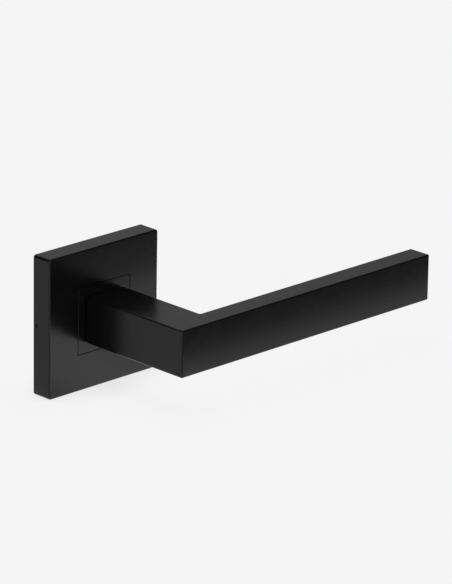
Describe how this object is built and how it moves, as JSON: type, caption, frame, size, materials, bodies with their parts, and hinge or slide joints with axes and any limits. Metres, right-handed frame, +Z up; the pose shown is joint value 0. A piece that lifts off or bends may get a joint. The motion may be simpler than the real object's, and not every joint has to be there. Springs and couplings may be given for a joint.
{
  "type": "door lever handle",
  "caption": "Sprung door lever handle: square-section L lever on a slim square clip-on rose, with its base, return spring, bush, half spindle and fixings.",
  "frame": {"origin": "on the spindle axis, in the plane of the door's face, which the rose's back edge and base rest on", "axes": "+X along the lever towards its tip, +Y along the spindle into the door, +Z up; the rose and lever stand out from the door towards -Y"},
  "size_m": [0.1415, 0.0814, 0.052],
  "materials": {
    "satin_black": "satin black powder coat",
    "cast_zinc": "bare zinc alloy die casting, dull grey",
    "plated_steel": "bright zinc plated steel",
    "spring_steel": "oiled spring steel",
    "black_steel": "black oxide steel",
    "nylon": "moulded natural nylon"
  },
  "bodies": {
    "rose": {"rose_cover": "satin_black", "neck_collar": "satin_black", "neck_bush": "nylon", "rose_base": "cast_zinc", "back_plate": "plated_steel", "return_spring": "spring_steel", "wood_screw_upper": "plated_steel", "wood_screw_lower": "plated_steel", "back_plate_screw_1": "plated_steel", "back_plate_screw_2": "plated_steel", "back_plate_screw_3": "plated_steel", "back_plate_screw_4": "plated_steel", "cover_clip_1": "spring_steel", "cover_clip_2": "spring_steel", "cover_clip_3": "spring_steel", "cover_clip_4": "spring_steel"},
    "lever": {"lever": "satin_black", "spring_driver": "cast_zinc", "half_spindle": "plated_steel", "thrust_washer": "nylon", "wave_washer": "spring_steel", "circlip": "spring_steel", "spindle_grub_screw": "black_steel"}
  },
  "joints": [
    {"name": "lever_turn", "type": "hinge", "parent": "rose", "child": "lever", "pos_m": [0, 0, 0], "axis": [0, 1, 0], "range_deg": [0, 45], "stiffness_Nm_per_rad": 0.33, "springref_deg": -28.65, "deforming": ["return_spring"]}
  ]
}
